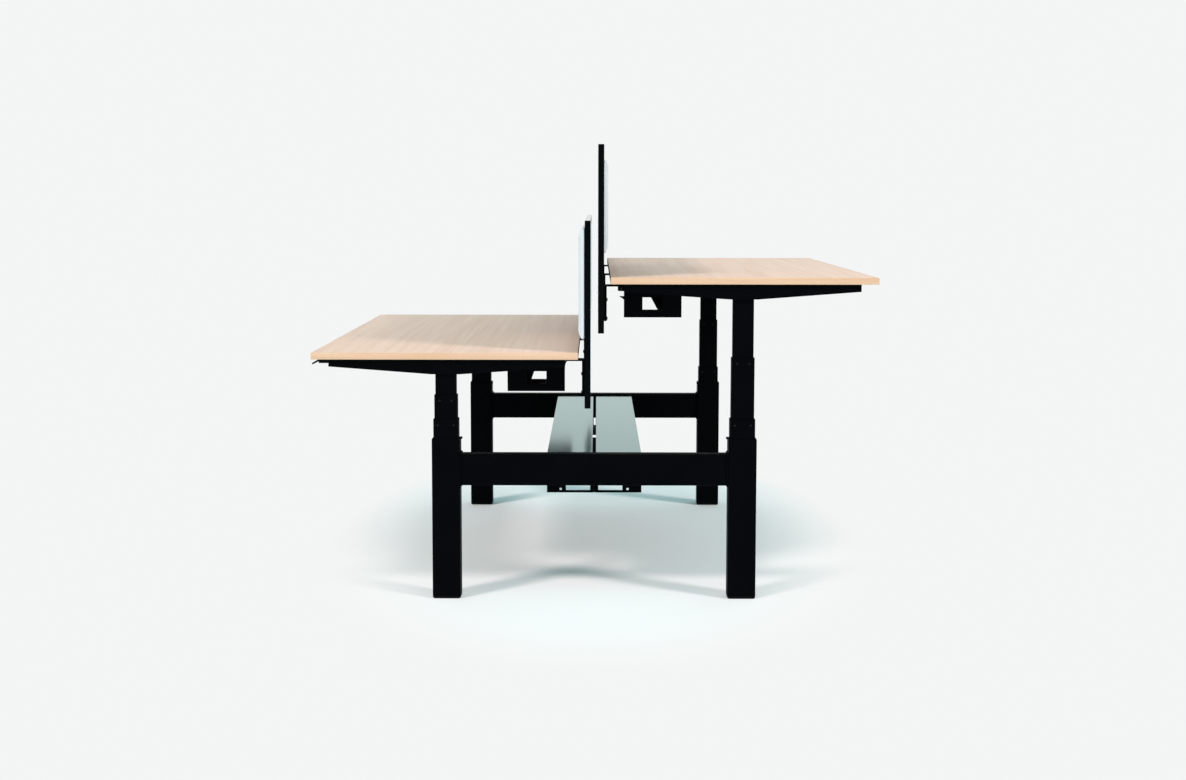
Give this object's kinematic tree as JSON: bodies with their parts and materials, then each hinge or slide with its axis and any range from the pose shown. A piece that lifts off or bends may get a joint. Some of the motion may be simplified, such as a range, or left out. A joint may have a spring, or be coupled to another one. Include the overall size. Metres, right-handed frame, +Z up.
{
  "type": "benching desk for two",
  "caption": "Back-to-back sit-stand bench: tops on telescopic columns, screens, cable trays and a shared lidded trough on one black frame.",
  "frame": {"origin": "on the floor, in the middle of the bench", "axes": "+X across the bench to the right-hand user, +Y along the bench to its far end, +Z up"},
  "size_m": [1.7088, 1.4, 1.3715],
  "materials": {
    "frame_black": "black powder coat, fine satin",
    "lid_black": "smooth black coat that mirrors its surroundings at a low angle",
    "black_plastic": "fine-grained black plastic",
    "drive_steel": "plain steel, hidden inside the columns",
    "beech_board": "pale beech-look board with a warmer edge band, satin",
    "screen_board": "black laminated board, satin",
    "pale_fabric": "pale blue-grey woven fabric over padding"
  },
  "bodies": {
    "base": {"near_cross_beam": "frame_black", "far_cross_beam": "frame_black", "near_trough_end_plate": "frame_black", "far_trough_end_plate": "frame_black", "cable_trough": "frame_black", "left_near_leg_sleeve": "frame_black", "left_near_foot": "black_plastic", "left_near_outer_tube": "frame_black", "left_far_leg_sleeve": "frame_black", "left_far_foot": "black_plastic", "left_far_outer_tube": "frame_black", "right_near_leg_sleeve": "frame_black", "right_near_foot": "black_plastic", "right_near_outer_tube": "frame_black", "right_far_leg_sleeve": "frame_black", "right_far_foot": "black_plastic", "right_far_outer_tube": "frame_black"},
    "left_desk": {"left_desktop": "beech_board", "left_near_arm": "frame_black", "left_near_inner_tube": "frame_black", "left_near_lift_drive": "drive_steel", "left_far_arm": "frame_black", "left_far_inner_tube": "frame_black", "left_far_lift_drive": "drive_steel", "left_near_screen_bracket": "frame_black", "left_middle_screen_bracket": "frame_black", "left_far_screen_bracket": "frame_black", "left_rear_rail": "frame_black", "left_front_rail": "frame_black", "left_control_box": "black_plastic", "left_cable_tray": "frame_black", "left_screen": "screen_board", "left_screen_pad": "pale_fabric", "left_handset_body": "black_plastic"},
    "right_desk": {"right_desktop": "beech_board", "right_near_arm": "frame_black", "right_near_inner_tube": "frame_black", "right_near_lift_drive": "drive_steel", "right_far_arm": "frame_black", "right_far_inner_tube": "frame_black", "right_far_lift_drive": "drive_steel", "right_near_screen_bracket": "frame_black", "right_middle_screen_bracket": "frame_black", "right_far_screen_bracket": "frame_black", "right_rear_rail": "frame_black", "right_front_rail": "frame_black", "right_control_box": "black_plastic", "right_cable_tray": "frame_black", "right_screen": "screen_board", "right_screen_pad": "pale_fabric", "right_handset_body": "black_plastic"},
    "left_near_stage": {"left_near_middle_tube": "frame_black"},
    "left_far_stage": {"left_far_middle_tube": "frame_black"},
    "right_near_stage": {"right_near_middle_tube": "frame_black"},
    "right_far_stage": {"right_far_middle_tube": "frame_black"},
    "left_lid": {"left_trough_lid": "lid_black"},
    "right_lid": {"right_trough_lid": "lid_black"},
    "left_paddle": {"left_handset_paddle": "black_plastic"},
    "right_paddle": {"right_handset_paddle": "black_plastic"}
  },
  "joints": [
    {"name": "left_lift", "type": "slide", "parent": "base", "child": "left_desk", "axis": [0, 0, 1], "range_m": [-0.1, 0.55]},
    {"name": "right_lift", "type": "slide", "parent": "base", "child": "right_desk", "axis": [0, 0, 1], "range_m": [-0.326, 0.324]},
    {"name": "left_near_stage_slide", "type": "slide", "parent": "base", "child": "left_near_stage", "axis": [0, 0, 1], "range_m": [-0.05, 0.275]},
    {"name": "left_far_stage_slide", "type": "slide", "parent": "base", "child": "left_far_stage", "axis": [0, 0, 1], "range_m": [-0.05, 0.275]},
    {"name": "right_near_stage_slide", "type": "slide", "parent": "base", "child": "right_near_stage", "axis": [0, 0, 1], "range_m": [-0.163, 0.162]},
    {"name": "right_far_stage_slide", "type": "slide", "parent": "base", "child": "right_far_stage", "axis": [0, 0, 1], "range_m": [-0.163, 0.162]},
    {"name": "left_lid_hinge", "type": "hinge", "parent": "base", "child": "left_lid", "pos_m": [-0.137, 0, 0.4275], "axis": [0, -1, 0], "range_deg": [0, 45]},
    {"name": "right_lid_hinge", "type": "hinge", "parent": "base", "child": "right_lid", "pos_m": [0.137, 0, 0.4275], "axis": [0, 1, 0], "range_deg": [0, 45]},
    {"name": "left_paddle_hinge", "type": "hinge", "parent": "left_desk", "child": "left_paddle", "pos_m": [-0.8335, -0.605, 0.7217], "axis": [0, -1, 0], "range_deg": [-6, 6], "stiffness_Nm_per_rad": 2},
    {"name": "right_paddle_hinge", "type": "hinge", "parent": "right_desk", "child": "right_paddle", "pos_m": [0.8335, 0.605, 0.9477], "axis": [0, 1, 0], "range_deg": [-6, 6], "stiffness_Nm_per_rad": 2}
  ],
  "couplings": [
    {"joint": "left_near_stage_slide", "follows": "left_lift", "ratio": 0.5},
    {"joint": "left_far_stage_slide", "follows": "left_lift", "ratio": 0.5},
    {"joint": "right_near_stage_slide", "follows": "right_lift", "ratio": 0.5},
    {"joint": "right_far_stage_slide", "follows": "right_lift", "ratio": 0.5}
  ]
}
